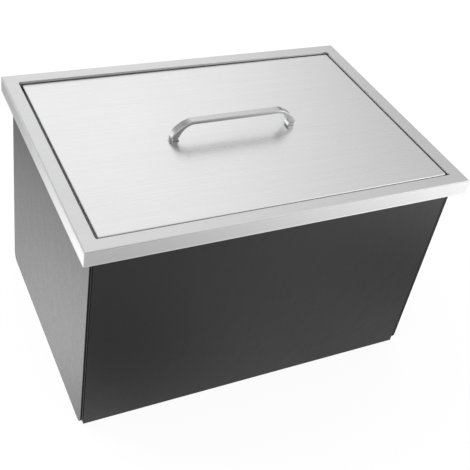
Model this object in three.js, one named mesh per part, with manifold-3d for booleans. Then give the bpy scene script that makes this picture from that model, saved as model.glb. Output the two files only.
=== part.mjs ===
// Drop-in ice bin: an insulated stainless steel well for a worktop cut-out, with a lift-off lid and a drain.
// Millimetres, +Z up, +X along the long side, -Y towards the user. The origin is the middle of the base.

import * as THREE from 'three';
import { mergeVertices } from 'three/addons/utils/BufferGeometryUtils.js';
import Module from 'manifold-3d';

const wasm = await Module();
wasm.setup();

// Overall size, over the rim: 20 by 14 by 12 inches
const bin = { length: 508, depth: 356, height: 308 };

// Fits shared by all pieces
const seat = 0.3;
const slip = 0.4;
const overrun = 2;

// Formed rim: flat top, turned-down lip, inner leg behind a sharper fold, and the ledge under the lid
const rim = {
  sheet: 1, width: 18.6, lip: 20, bend: 1.2, fold: 0.6, corner: 1.8, openingCorner: 2, ledge: 9.4,
};

// Lid pan and how it lies in the rim's opening
const lid = {
  sheet: 1, skirt: 12, bend: 2.4, corner: 2.6, recess: 3.4,
  gapLeft: 4.3, gapRight: 1, gapFront: 5.2, gapRear: 1.8,
};
const liner = { sheet: 0.8, edge: 4 };

// Drawn tub: walls with coves, and a floor that falls from its edge to the drain
const tub = {
  sheet: 1, flange: 8, cove: 14, floorCorner: 6, floor: 40, fall: 4,
  drainFlat: 42, recessRadius: 38, recessTaper: 1.5, recessDepth: 4.5,
};

// Covering sheets round the body
const cover = { thickness: 4, insetSide: 12, insetFront: 14.6, corner: 5, edge: 0.6, pocket: 42 };

// Bow handle: outer length, tapered legs that stand on foot blocks, and the arcs of its ends
const handle = {
  length: 175.5, width: 11, height: 25.7, thickness: 4, leg: 9.6, offsetSide: -1.25, offsetFront: -3.2,
  outerArc: 40, innerArc: 26, chamfer: 1.3, foot: 3.5, footMargin: 0.8, footBevel: 0.5,
};
const screw = {
  radius: 2, head: 4, headHeight: 2.8, dome: 0.9, grip: 9, access: 8, socket: 1.4, socketDepth: 1.5,
};
const washer = { radius: 6, thickness: 1 };

// Drain: flange, bowl, threaded neck and tail, all round the middle of the tub's floor
const drain = {
  flange: 34, flangeHeight: 2, flangeBevel: 0.7, mouth: 21, bowl: 19.5, bowlDepth: 8,
  neck: 23, neckEnd: 17, tail: 16.6, bore: 13.5, tailEnd: 1, tailBevel: 0.8,
};
const gasket = { radius: 33, upper: 1.5, lower: 2 };
const backWasher = { radius: 32, thickness: 0.8 };
const locknut = { radius: 28, height: 8, lugs: 6, lugWidth: 9, lugReach: 4, bevel: 0.8 };
const strainer = {
  thickness: 1.5, slots: 12, slotWidth: 2.2, slotInner: 6, slotOuter: 12.5,
  holes: 5, hole: 1.3, holeRing: 3.1,
};
const plug = {
  lip: 24, lipHeight: 2, edge: 0.8, stem: 4, stemHeight: 5, knob: 7.5, knobHeight: 7, knobEdge: 1.5,
};

// Facets
const cornerSteps = 6;
const coveSteps = 5;
const bendSteps = 3;
const roundSteps = 48;
const smallSteps = 24;
const arcSteps = 10;
const slotSteps = 4;

// Heights that several pieces share
const lidTop = bin.height - lid.recess;
const lidBase = lidTop - lid.skirt;
const ledgeTop = lidBase - seat;
const ledgeUnder = ledgeTop - rim.sheet;
const tubTop = ledgeUnder - seat;
const bodyTop = tubTop - tub.sheet - seat;
const recessFloor = tub.floor - tub.fall - tub.recessDepth;
const flangeUnder = recessFloor + seat + gasket.upper + seat;
const flangeTop = flangeUnder + drain.flangeHeight;
const shelf = flangeTop - drain.bowlDepth;
const strainerTop = shelf + seat + strainer.thickness;

// Half sizes of the rim, its opening, the tub and the body
const half = { x: bin.length / 2, y: bin.depth / 2 };
const opening = { x: half.x - rim.width, y: half.y - rim.width };
const well = { x: opening.x - rim.ledge, y: opening.y - rim.ledge };
const wellCorner = tub.floorCorner + tub.cove;
const body = { x: half.x - cover.insetSide, y: half.y - cover.insetFront };
const bodyInner = { x: body.x - cover.thickness, y: body.y - cover.thickness };
const tubOuter = { x: well.x + tub.sheet, y: well.y + tub.sheet };

// The lid's half sizes, and its middle, which the uneven gaps shift
const lidHalf = {
  x: opening.x - (lid.gapLeft + lid.gapRight) / 2,
  y: opening.y - (lid.gapFront + lid.gapRear) / 2,
};
const lidCentre = { x: (lid.gapLeft - lid.gapRight) / 2, y: (lid.gapFront - lid.gapRear) / 2 };

// A closed solid from a geometry, with shared corners merged and no collapsed facets
function solid(geometry) {
  const bare = geometry.clone();
  bare.deleteAttribute('normal');
  bare.deleteAttribute('uv');
  const merged = mergeVertices(bare);
  const triangles = [];
  for (let i = 0; i < merged.index.count; i += 3) {
    const [a, b, c] = [merged.index.getX(i), merged.index.getX(i + 1), merged.index.getX(i + 2)];
    if (a !== b && b !== c && c !== a) triangles.push(a, b, c);
  }
  return new wasm.Manifold(new wasm.Mesh({
    numProp: 3,
    vertProperties: new Float32Array(merged.attributes.position.array),
    triVerts: new Uint32Array(triangles),
  }));
}

// A flat-shaded geometry from a solid
function facets(shape) {
  const mesh = shape.getMesh();
  const geometry = new THREE.BufferGeometry();
  geometry.setAttribute('position', new THREE.BufferAttribute(mesh.vertProperties, 3));
  geometry.setIndex(new THREE.BufferAttribute(mesh.triVerts, 1));
  const flat = geometry.toNonIndexed();
  flat.computeVertexNormals();
  return flat;
}

// Rounded rectangle of half sizes x and y with corner radius r, as a ring of points at height z
function ring({ x, y, r, z }) {
  const quarters = [[1, 1], [-1, 1], [-1, -1], [1, -1]];
  return quarters.flatMap(([sx, sy], quarter) => Array.from({ length: cornerSteps + 1 }, (_, step) => {
    const angle = (quarter + step / cornerSteps) * Math.PI / 2;
    return [sx * (x - r) + r * Math.cos(angle), sy * (y - r) + r * Math.sin(angle), z];
  }));
}

// Skin over a run of rings: a loop closes on itself like a frame, and an open run is capped at both ends
function skin(sections, loop) {
  const rings = sections.map(ring);
  const count = rings[0].length;
  const points = rings.flat();
  const index = [];
  const spans = loop ? rings.length : rings.length - 1;
  for (let i = 0; i < spans; i++) {
    const low = i * count;
    const high = ((i + 1) % rings.length) * count;
    for (let k = 0; k < count; k++) {
      const next = (k + 1) % count;
      index.push(low + k, low + next, high + next, low + k, high + next, high + k);
    }
  }
  if (!loop) {
    const last = (rings.length - 1) * count;
    for (let k = 1; k < count - 1; k++) {
      index.push(0, k + 1, k, last, last + k, last + k + 1);
    }
  }
  const geometry = new THREE.BufferGeometry();
  geometry.setAttribute('position', new THREE.Float32BufferAttribute(points.flat(), 3));
  geometry.setIndex(index);
  return solid(geometry);
}

// Turned solid from a profile of [radius, height] pairs, closed on itself or ending on the axis
function turned(profile, steps) {
  const points = profile.map(([radius, height]) => new THREE.Vector2(radius, height));
  const geometry = new THREE.LatheGeometry(points, steps);
  geometry.rotateX(Math.PI / 2);
  return solid(geometry);
}

// Plain round cutter or plug between two heights
function rod(radius, low, high, steps) {
  return turned([[0, low], [radius, low], [radius, high], [0, high]], steps);
}

// Flat round ring between two heights
function flatRing(inner, outer, low, high, steps) {
  return turned([[inner, low], [outer, low], [outer, high], [inner, high], [inner, low]], steps);
}

// Board with upright sides between two corners, each given as x, y and z
function board(low, high) {
  const shape = new THREE.Shape();
  shape.moveTo(low.x, low.y);
  shape.lineTo(high.x, low.y);
  shape.lineTo(high.x, high.y);
  shape.lineTo(low.x, high.y);
  const geometry = new THREE.ExtrudeGeometry(shape, { depth: high.z - low.z, bevelEnabled: false });
  geometry.translate(0, 0, low.z);
  return solid(geometry);
}

// Finishes
const finishes = {
  brushedSteel: { color: 0xd6d7d8, roughness: 0.38, metalness: 0.9 },
  tubSteel: { color: 0xc9cbcc, roughness: 0.3, metalness: 0.9 },
  chrome: { color: 0xd9dadb, roughness: 0.12, metalness: 1 },
  zincSteel: { color: 0xb4b6b8, roughness: 0.35, metalness: 0.9 },
  coverSheet: { color: 0x38393a, roughness: 0.85, metalness: 0 },
  foam: { color: 0xe9e4d2, roughness: 0.95, metalness: 0 },
  rubber: { color: 0x2a2b2c, roughness: 0.85, metalness: 0 },
  plastic: { color: 0xe6e7e6, roughness: 0.5, metalness: 0 },
};

function part(name, shape, finish) {
  const mesh = new THREE.Mesh(facets(shape), new THREE.MeshStandardMaterial(finishes[finish]));
  mesh.name = name;
  return mesh;
}

// Rings of a bend from an upright side, at an inset, over into a flat top: way is 1 inwards and -1 outwards
function bendRings(at, inset, top, bend, corner, way) {
  return Array.from({ length: bendSteps + 1 }, (_, step) => {
    const angle = step / bendSteps * Math.PI / 2;
    const over = way * bend * (1 - Math.cos(angle));
    return at(inset + over, top - bend * (1 - Math.sin(angle)), corner - over);
  });
}

// Rim

// Section of the formed sheet, all the way round it: insets from the outer edge, heights and corner radii
function rimSections() {
  const at = (inset, z, r) => ({ x: half.x - inset, y: half.y - inset, r, z });
  const hidden = rim.width - rim.sheet;
  const under = bin.height - rim.sheet;
  return [
    at(0, bin.height - rim.lip, rim.corner),
    ...bendRings(at, 0, bin.height, rim.bend, rim.corner, 1),
    ...bendRings(at, rim.width, bin.height, rim.fold, rim.openingCorner, -1).reverse(),
    at(rim.width, ledgeTop, rim.openingCorner),
    at(rim.width + rim.ledge, ledgeTop, wellCorner),
    at(rim.width + rim.ledge, ledgeUnder, wellCorner),
    at(hidden, ledgeUnder, rim.openingCorner + rim.sheet),
    at(hidden, under, rim.openingCorner + rim.sheet),
    at(rim.sheet, under, rim.corner - rim.sheet),
    at(rim.sheet, bin.height - rim.lip, rim.corner - rim.sheet),
  ];
}

function rimFrame() {
  return skin(rimSections(), true);
}

// Tub

// Rings of the pressing from the drain flat to the top of the cove, grown by the sheet for its outside
function tubRings(grow) {
  const rings = [{ x: tub.drainFlat, y: tub.drainFlat, r: wellCorner, z: tub.floor - tub.fall - grow }];
  for (let step = 0; step <= coveSteps; step++) {
    const angle = step / coveSteps * Math.PI / 2;
    const out = (tub.cove + grow) * Math.sin(angle) - tub.cove;
    rings.push({
      x: well.x + out,
      y: well.y + out,
      r: wellCorner + out,
      z: tub.floor + tub.cove - (tub.cove + grow) * Math.cos(angle),
    });
  }
  return rings;
}

// Dished recess that takes the drain's flange
function tubRecess(grow, top) {
  const radius = tub.recessRadius + grow;
  return turned([
    [0, recessFloor - grow],
    [radius - tub.recessTaper, recessFloor - grow],
    [radius, tub.floor - tub.fall - grow],
    [radius, top],
    [0, top],
  ], roundSteps);
}

function linerTub() {
  const flangeLow = tubTop - tub.sheet;
  const wall = { x: tubOuter.x, y: tubOuter.y, r: wellCorner + tub.sheet };
  const edge = { x: wall.x + tub.flange, y: wall.y + tub.flange, r: wall.r };
  const outside = skin([
    ...tubRings(tub.sheet),
    { ...wall, z: flangeLow },
    { ...edge, z: flangeLow },
    { ...edge, z: tubTop },
  ], false).add(tubRecess(tub.sheet, tub.floor - tub.fall));
  const inside = skin([
    ...tubRings(0),
    { x: well.x, y: well.y, r: wellCorner, z: tubTop + overrun },
  ], false).add(tubRecess(0, tub.floor - tub.fall + overrun));
  const hole = rod(drain.neck + slip, recessFloor - tub.sheet - overrun, recessFloor + overrun, roundSteps);
  return outside.subtract(inside).subtract(hole);
}

// Covering sheets and insulation boards

// Side sheet: as deep as the body, over the ends of the front and rear sheets, with rounded lower corners
function sidePanel(side) {
  const shape = new THREE.Shape();
  shape.moveTo(body.y, bodyTop);
  shape.lineTo(-body.y, bodyTop);
  shape.absarc(-body.y + cover.corner, cover.corner, cover.corner, Math.PI, Math.PI * 3 / 2, false);
  shape.absarc(body.y - cover.corner, cover.corner, cover.corner, Math.PI * 3 / 2, Math.PI * 2, false);
  const depth = cover.thickness - cover.edge * 2;
  const geometry = new THREE.ExtrudeGeometry(shape, {
    depth, curveSegments: cornerSteps, bevelSegments: 1,
    bevelThickness: cover.edge, bevelSize: cover.edge, bevelOffset: -cover.edge,
  });
  geometry.translate(0, 0, -depth / 2);
  geometry.applyMatrix4(new THREE.Matrix4().makeBasis(
    new THREE.Vector3(0, 1, 0), new THREE.Vector3(0, 0, 1), new THREE.Vector3(1, 0, 0)));
  geometry.translate(side * (body.x - cover.thickness / 2), 0, 0);
  return solid(geometry);
}

// Front or rear sheet, between the side sheets
function facePanel(side) {
  const x = bodyInner.x - seat;
  const [near, far] = side < 0 ? [-body.y, -bodyInner.y] : [bodyInner.y, body.y];
  return board({ x: -x, y: near, z: 0 }, { x, y: far, z: bodyTop });
}

function drainPocket(top) {
  return rod(cover.pocket, -overrun, top + overrun, roundSteps);
}

function basePanel() {
  const x = bodyInner.x - seat;
  const y = bodyInner.y - seat;
  const sheet = board({ x: -x, y: -y, z: 0 }, { x, y, z: cover.thickness });
  return sheet.subtract(drainPocket(cover.thickness));
}

// Boards fill the space between tub and covering: the base board first, then the sides, then front and rear
const baseBoard = { low: cover.thickness + seat, high: tub.floor - tub.fall - tub.sheet - seat };
const wallBoard = { low: baseBoard.high + seat, high: bodyTop };

function insulationBase() {
  const x = bodyInner.x - seat;
  const y = bodyInner.y - seat;
  const slab = board({ x: -x, y: -y, z: baseBoard.low }, { x, y, z: baseBoard.high });
  return slab.subtract(drainPocket(baseBoard.high));
}

function insulationSide(side) {
  const y = bodyInner.y - seat;
  const near = side * (tubOuter.x + seat);
  const far = side * (bodyInner.x - seat);
  const [low, high] = [Math.min(near, far), Math.max(near, far)];
  return board({ x: low, y: -y, z: wallBoard.low }, { x: high, y, z: wallBoard.high });
}

function insulationFace(side) {
  const x = tubOuter.x;
  const near = side * (tubOuter.y + seat);
  const far = side * (bodyInner.y - seat);
  const [low, high] = [Math.min(near, far), Math.max(near, far)];
  return board({ x: -x, y: low, z: wallBoard.low }, { x, y: high, z: wallBoard.high });
}

// Drain, with its axis on the origin's

function drainBody() {
  return turned([
    [drain.bore, drain.tailEnd],
    [drain.tail - drain.tailBevel, drain.tailEnd],
    [drain.tail, drain.tailEnd + drain.tailBevel],
    [drain.tail, drain.neckEnd],
    [drain.neck, drain.neckEnd],
    [drain.neck, flangeUnder],
    [drain.flange, flangeUnder],
    [drain.flange, flangeTop - drain.flangeBevel],
    [drain.flange - drain.flangeBevel, flangeTop],
    [drain.mouth, flangeTop],
    [drain.bowl, shelf],
    [drain.bore, shelf],
    [drain.bore, drain.tailEnd],
  ], roundSteps);
}

// Slot with round ends, lying along +X between two radii
function slotCutter(low, high) {
  const radius = strainer.slotWidth / 2;
  const shape = new THREE.Shape();
  shape.absarc(strainer.slotOuter - radius, 0, radius, -Math.PI / 2, Math.PI / 2, false);
  shape.absarc(strainer.slotInner + radius, 0, radius, Math.PI / 2, Math.PI * 3 / 2, false);
  const geometry = new THREE.ExtrudeGeometry(shape, {
    depth: high - low, curveSegments: slotSteps, bevelEnabled: false,
  });
  geometry.translate(0, 0, low);
  return geometry;
}

// Grate: a ring of radial slots round a ring of holes
function drainStrainer() {
  const low = shelf + seat;
  let disc = rod(drain.bowl - slip, low, strainerTop, roundSteps);
  for (let i = 0; i < strainer.slots; i++) {
    const slot = slotCutter(low - overrun, strainerTop + overrun);
    slot.rotateZ(i / strainer.slots * Math.PI * 2);
    disc = disc.subtract(solid(slot));
  }
  for (let i = 0; i < strainer.holes; i++) {
    const angle = i / strainer.holes * Math.PI * 2;
    const place = [strainer.holeRing * Math.cos(angle), strainer.holeRing * Math.sin(angle), 0];
    const hole = rod(strainer.hole, low - overrun, strainerTop + overrun, slotSteps * 2);
    disc = disc.subtract(hole.translate(place));
  }
  return disc;
}

// Nut with lugs for a spanner
function drainLocknut(top) {
  const low = top - locknut.height;
  let nut = turned([
    [drain.neck + slip, low],
    [locknut.radius - locknut.bevel, low],
    [locknut.radius, low + locknut.bevel],
    [locknut.radius, top],
    [drain.neck + slip, top],
    [drain.neck + slip, low],
  ], roundSteps);
  for (let i = 0; i < locknut.lugs; i++) {
    const reach = locknut.radius + locknut.lugReach;
    const lug = board(
      { x: locknut.radius - locknut.bevel, y: -locknut.lugWidth / 2, z: low + locknut.bevel },
      { x: reach, y: locknut.lugWidth / 2, z: top - locknut.bevel },
    );
    nut = nut.add(lug.rotate([0, 0, i / locknut.lugs * 360]));
  }
  return nut;
}

// Stopper: a plug that tapers with the bowl, a lip over the flange, and a knob to pull
function drainPlug() {
  const low = strainerTop + seat;
  const lipLow = flangeTop + seat;
  const lipTop = lipLow + plug.lipHeight;
  const stemTop = lipTop + plug.stemHeight;
  const knobTop = stemTop + plug.knobHeight;
  const slope = (drain.mouth - drain.bowl) / drain.bowlDepth;
  return turned([
    [0, low],
    [drain.bowl + (low - shelf) * slope - slip, low],
    [drain.mouth - slip, flangeTop],
    [drain.mouth - slip, lipLow],
    [plug.lip, lipLow],
    [plug.lip, lipTop - plug.edge],
    [plug.lip - plug.edge, lipTop],
    [plug.stem, lipTop],
    [plug.stem, stemTop],
    [plug.knob - plug.knobEdge, stemTop],
    [plug.knob, stemTop + plug.knobEdge],
    [plug.knob, knobTop - plug.knobEdge],
    [plug.knob - plug.knobEdge, knobTop],
    [0, knobTop],
  ], roundSteps);
}

// Lid, about its own middle

const screwPlaces = [-1, 1].map((side) => [
  handle.offsetSide + side * (handle.length - handle.leg) / 2, handle.offsetFront,
]);

function cutAtScrews(shape, radius, low, high) {
  return screwPlaces.reduce((left, [x, y]) => (
    left.subtract(rod(radius, low, high, smallSteps).translate([x, y, 0]))
  ), shape);
}

// Pan with its edges turned down
function lidSkin() {
  const at = (inset, z, r) => ({ x: lidHalf.x - inset, y: lidHalf.y - inset, r, z });
  const outside = [
    at(0, lidBase, lid.corner),
    ...bendRings(at, 0, lidTop, lid.bend, lid.corner, 1),
  ];
  const innerCorner = lid.corner - lid.sheet;
  const hollow = [
    at(lid.sheet, lidBase - overrun, innerCorner),
    ...bendRings(at, lid.sheet, lidTop - lid.sheet, lid.bend - lid.sheet, innerCorner, 1),
  ];
  const pan = skin(outside, false).subtract(skin(hollow, false));
  return cutAtScrews(pan, screw.radius + slip, lidTop - lid.sheet - overrun, lidTop + overrun);
}

// Tray that closes the lid from below, with its edges turned up inside the skirt
function lidLiner() {
  const inset = lid.sheet + seat;
  const corner = lid.corner - lid.sheet;
  const at = (extra, z) => ({
    x: lidHalf.x - inset - extra, y: lidHalf.y - inset - extra, r: corner - extra, z,
  });
  const outside = skin([at(0, lidBase), at(0, lidBase + liner.edge)], false);
  const hollow = skin([
    at(liner.sheet, lidBase + liner.sheet),
    at(liner.sheet, lidBase + liner.edge + overrun),
  ], false);
  return cutAtScrews(outside.subtract(hollow), screw.access, lidBase - overrun, lidBase + liner.edge);
}

function lidCore() {
  const inset = lid.sheet + seat + liner.sheet + seat;
  const x = lidHalf.x - inset;
  const y = lidHalf.y - inset;
  const low = lidBase + liner.sheet + seat;
  const high = lidTop - lid.sheet - seat;
  const slab = board({ x: -x, y: -y, z: low }, { x, y, z: high });
  return cutAtScrews(slab, screw.access, low - overrun, high + overrun);
}

// Side view of the bow: elliptical ends, with legs that thicken towards the feet
function bowShape() {
  const outer = handle.length / 2;
  const inner = outer - handle.leg;
  const rise = handle.height - handle.foot;
  const start = handle.foot / 2;
  const shape = new THREE.Shape();
  shape.moveTo(-outer, start);
  const outerMiddle = outer - handle.outerArc;
  const innerMiddle = inner - handle.innerArc;
  shape.absellipse(-outerMiddle, handle.foot, handle.outerArc, rise, Math.PI, Math.PI / 2, true);
  shape.absellipse(outerMiddle, handle.foot, handle.outerArc, rise, Math.PI / 2, 0, true);
  shape.lineTo(outer, start);
  shape.lineTo(inner, start);
  const innerRise = rise - handle.thickness;
  shape.absellipse(innerMiddle, handle.foot, handle.innerArc, innerRise, 0, Math.PI / 2, false);
  shape.absellipse(-innerMiddle, handle.foot, handle.innerArc, innerRise, Math.PI / 2, Math.PI, false);
  shape.lineTo(-inner, start);
  return shape;
}

function footBlock(x) {
  const grown = { x: handle.leg / 2 + handle.footMargin, y: handle.width / 2 + handle.footMargin };
  const straight = { ...grown, r: handle.chamfer };
  const top = { x: grown.x - handle.footBevel, y: grown.y - handle.footBevel, r: handle.chamfer };
  return skin([
    { ...straight, z: 0 },
    { ...straight, z: handle.foot - handle.footBevel },
    { ...top, z: handle.foot },
  ], false).translate([x, 0, 0]);
}

// Bow handle about its own middle, with its feet at height zero and blind holes for the screws
function bowHandle() {
  const legs = [-1, 1].map((side) => side * (handle.length - handle.leg) / 2);
  const depth = handle.width - handle.chamfer * 2;
  const bow = new THREE.ExtrudeGeometry(bowShape(), {
    depth, curveSegments: arcSteps, bevelSegments: 1,
    bevelThickness: handle.chamfer, bevelSize: handle.chamfer, bevelOffset: -handle.chamfer,
  });
  bow.translate(0, 0, -depth / 2);
  bow.rotateX(Math.PI / 2);
  let shape = solid(bow);
  for (const x of legs) shape = shape.add(footBlock(x));
  for (const x of legs) {
    const hole = rod(screw.radius + slip, -overrun, screw.grip - lid.sheet, smallSteps);
    shape = shape.subtract(hole.translate([x, 0, 0]));
  }
  return shape;
}

// Screw from below: the head's bearing face is at height zero, and the shank points up
function handleScrew() {
  const shape = turned([
    [0, -screw.headHeight],
    [screw.head - screw.dome, -screw.headHeight],
    [screw.head, -screw.headHeight + screw.dome],
    [screw.head, 0],
    [screw.radius, 0],
    [screw.radius, screw.grip],
    [0, screw.grip],
  ], smallSteps);
  const socketTop = screw.socketDepth - screw.headHeight;
  const socket = rod(screw.socket, -screw.headHeight - overrun, socketTop, cornerSteps);
  return shape.subtract(socket);
}

// Assembly

const binGroup = new THREE.Group();
binGroup.add(
  part('rim_frame', rimFrame(), 'brushedSteel'),
  part('liner_tub', linerTub(), 'tubSteel'),
  part('side_panel_left', sidePanel(-1), 'coverSheet'),
  part('side_panel_right', sidePanel(1), 'coverSheet'),
  part('front_panel', facePanel(-1), 'coverSheet'),
  part('rear_panel', facePanel(1), 'coverSheet'),
  part('base_panel', basePanel(), 'coverSheet'),
  part('insulation_base', insulationBase(), 'foam'),
  part('insulation_left', insulationSide(-1), 'foam'),
  part('insulation_right', insulationSide(1), 'foam'),
  part('insulation_front', insulationFace(-1), 'foam'),
  part('insulation_rear', insulationFace(1), 'foam'),
);

const lowerGasketTop = recessFloor - tub.sheet - seat;
const backWasherTop = lowerGasketTop - gasket.lower - seat;
const locknutTop = backWasherTop - backWasher.thickness - seat;
const upperGasketLow = recessFloor + seat;

// Ring on the drain's neck, hanging down from a height
function neckRing(radius, top, thickness) {
  return flatRing(drain.neck + slip, radius, top - thickness, top, roundSteps);
}

const drainGroup = new THREE.Group();
drainGroup.add(
  part('drain_body', drainBody(), 'tubSteel'),
  part('drain_strainer', drainStrainer(), 'tubSteel'),
  part('drain_gasket_upper', neckRing(gasket.radius, upperGasketLow + gasket.upper, gasket.upper), 'rubber'),
  part('drain_gasket_lower', neckRing(gasket.radius, lowerGasketTop, gasket.lower), 'rubber'),
  part('drain_washer', neckRing(backWasher.radius, backWasherTop, backWasher.thickness), 'plastic'),
  part('drain_locknut', drainLocknut(locknutTop), 'zincSteel'),
  part('drain_plug', drainPlug(), 'rubber'),
);
binGroup.add(drainGroup);

const lidGroup = new THREE.Group();
lidGroup.position.set(lidCentre.x, lidCentre.y, 0);
lidGroup.add(
  part('lid_skin', lidSkin(), 'brushedSteel'),
  part('lid_core', lidCore(), 'foam'),
  part('lid_liner', lidLiner(), 'tubSteel'),
);

const lidHandle = part('lid_handle', bowHandle(), 'chrome');
lidHandle.position.set(handle.offsetSide, handle.offsetFront, lidTop + seat);
lidGroup.add(lidHandle);

const washerTop = lidTop - lid.sheet - seat;
const screwSeat = washerTop - washer.thickness - seat;
['left', 'right'].forEach((side, i) => {
  const [x, y] = screwPlaces[i];
  const ringBelow = part(`handle_washer_${side}`, flatRing(
    screw.radius + slip, washer.radius, -washer.thickness, 0, smallSteps), 'zincSteel');
  ringBelow.position.set(x, y, washerTop);
  const fastener = part(`handle_screw_${side}`, handleScrew(), 'zincSteel');
  fastener.position.set(x, y, screwSeat);
  lidGroup.add(ringBelow, fastener);
});
binGroup.add(lidGroup);

export default binGroup;
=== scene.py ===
"""Drop-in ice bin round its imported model: fine meshes, finishes, light and camera.

Sizes are in metres, with +Z up and -Y towards the user.
"""

import math

import bmesh
import bpy
import numpy as np
from mathutils import Matrix, Vector


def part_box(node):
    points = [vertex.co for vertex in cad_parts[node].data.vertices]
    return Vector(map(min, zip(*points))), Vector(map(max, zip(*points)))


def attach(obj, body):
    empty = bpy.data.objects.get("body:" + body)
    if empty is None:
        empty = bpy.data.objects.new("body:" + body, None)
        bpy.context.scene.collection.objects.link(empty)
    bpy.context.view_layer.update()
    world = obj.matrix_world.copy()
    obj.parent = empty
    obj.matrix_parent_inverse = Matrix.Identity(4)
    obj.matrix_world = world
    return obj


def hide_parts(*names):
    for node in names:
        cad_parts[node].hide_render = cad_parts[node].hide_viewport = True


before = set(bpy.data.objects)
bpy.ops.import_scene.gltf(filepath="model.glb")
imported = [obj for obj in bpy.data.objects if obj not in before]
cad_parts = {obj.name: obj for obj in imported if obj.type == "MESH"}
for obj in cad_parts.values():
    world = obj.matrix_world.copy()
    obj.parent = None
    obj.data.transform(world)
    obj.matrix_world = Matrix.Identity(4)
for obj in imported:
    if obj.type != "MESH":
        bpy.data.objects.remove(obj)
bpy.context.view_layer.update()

QUARTER = math.pi / 2
TURN = math.pi * 2

# The two ends of the bin, with their direction along X
HANDS = ((-1, "left"), (1, "right"))

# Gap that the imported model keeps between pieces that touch
SEAT = 0.0003

# Rounding of cut edges: of plain sheet, and of the lid's pan and tray
DEBURR = 0.0002
PAN_DEBURR = 0.0003

# Radius of the hole for the drain's neck in the tub, the gaskets, the washer and the nut
NECK_HOLE = 0.0234

# Formed rim
RIM = {
    "sheet": 0.001, "width": 0.0186, "ledge": 0.0094, "bend": 0.0018, "fold": 0.0005, "crease": 0.0012,
    "corner": 0.002, "opening_corner": 0.002, "flare": 0.0003, "flare_height": 0.0014, "hem": 0.0003,
}

# Lid pan, and the tray that closes it from below
LID = {"sheet": 0.001, "bend": 0.0013, "corner": 0.0026, "border": 0.006}
TRAY = {"sheet": 0.0008, "bend": 0.0006, "corner": 0.0008, "border": 0.004, "access": 0.008}

# Drawn tub
TUB = {
    "sheet": 0.001, "flange": 0.008, "cove": 0.014, "floor_corner": 0.006, "floor": 0.04, "fall": 0.004,
    "drain_flat": 0.042, "recess": 0.038, "taper": 0.0015, "depth": 0.0045, "lead": 0.0012,
    "bend": 0.0012, "crease": 0.0015,
}
WELL_CORNER = TUB["floor_corner"] + TUB["cove"]

# Covering sheets
COVER = {"corner": 0.012, "edge": 0.0005, "hem": 0.0001, "border": 0.004, "pocket": 0.042}

# Bow handle, the foot under each of its legs, and its screws
HANDLE = {
    "leg": 0.0104, "thickness": 0.004, "outer_arc": 0.0272, "inner_arc": 0.019,
    "outer_turn": (math.radians(28), math.radians(77)), "inner_turn": (math.radians(24), math.radians(90)),
    "chamfer": 0.0012, "edge": 0.0003, "groove": 0.0008, "side_margin": 0.0004,
}
FOOT = {
    "height": 0.0044, "margin": 0.0008, "overhang": 0.0014, "edge": 0.0003, "corner": 0.001,
    "draft": 0.0003, "outer_draft": 0.0005, "inner_draft": 0.0021, "neck": 0.001, "sunk": 0.0003,
}
SCREW = {
    "radius": 0.002, "head": 0.004, "head_height": 0.0028, "edge": 0.0009, "tip": 0.0003,
    "socket": 0.0014, "socket_depth": 0.0015,
}

# Drain
DRAIN = {
    "flange": 0.034, "flange_height": 0.002, "mouth": 0.021, "bowl": 0.0195, "bowl_depth": 0.008,
    "neck": 0.023, "neck_end": 0.017, "tail": 0.0166, "bore": 0.0135, "edge": 0.0007, "fine": 0.0003,
    "pitch": 0.0022, "thread": 0.0009, "run_out": 0.0012,
}
NUT = {"radius": 0.028, "lugs": 6, "lug_width": 0.009, "lug_reach": 0.004, "bevel": 0.0008}
STRAINER = {
    "slots": 12, "slot_width": 0.0022, "slot_inner": 0.006, "slot_outer": 0.0125,
    "holes": 5, "hole": 0.0013, "hole_ring": 0.0031, "edge": 0.0003, "overrun": 0.001,
}
PLUG = {
    "lip": 0.024, "lip_height": 0.002, "edge": 0.0008, "stem": 0.004, "stem_height": 0.005,
    "knob": 0.0075, "knob_edge": 0.0026, "clear": 0.0004, "crease": 0.001,
}
RING = {"edge": 0.0004, "washer_hole": 0.0024, "washer_edge": 0.0002}

# Steel's grain: how fine it is, and how far a face looks along X before its grain runs upright
GRAIN = {"across": 1500, "sideways": 0.7}

# Painted shade in steel's narrow gaps, found by ambient occlusion: a wall's reach, the openness taken as
# closed and as open, and the light left
GAP_SHADE = {"reach": 0.008, "closed": 0.04, "open": 0.3, "rest": 0.06}

# Facets
CORNER_STEPS = 12
BEND_STEPS = 5
BOW_EDGE_STEPS = 2
COVE_STEPS = 12
ROUND_STEPS = 96
SMALL_STEPS = 48
THREAD_STEPS = 8
ARC_STEPS = 20
TOP_STEPS = 12

# The angle from which edges stay sharp, how near points merge, and the share of an edge a rounding may take
SHARP_ANGLE = math.radians(38)
MERGE = 1e-7
EDGE_SHARE = 0.49


# Outlines


def soften(points, radii, steps=BEND_STEPS, closed=True):
    """A 2-D outline whose corners are rounded, each by its radius or as far as its edges allow."""
    softened = []
    for i, (point, radius) in enumerate(zip(points, radii)):
        if radius == 0 or (not closed and i in (0, len(points) - 1)):
            softened.append(tuple(point))
            continue
        corner = Vector(point)
        before = Vector(points[i - 1]) - corner
        after = Vector(points[(i + 1) % len(points)]) - corner
        half = before.angle(after) / 2
        trim = min(radius / math.tan(half), before.length * EDGE_SHARE, after.length * EDGE_SHARE)
        start = corner + before.normalized() * trim
        end = corner + after.normalized() * trim
        bisector = (before.normalized() + after.normalized()).normalized()
        centre = corner + bisector * (trim / math.cos(half))
        arc = (start - centre).length
        for step in range(steps + 1):
            share = step / steps
            spoke = ((start - centre) * (1 - share) + (end - centre) * share).normalized()
            softened.append(tuple(centre + spoke * arc))
    return softened


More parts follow.
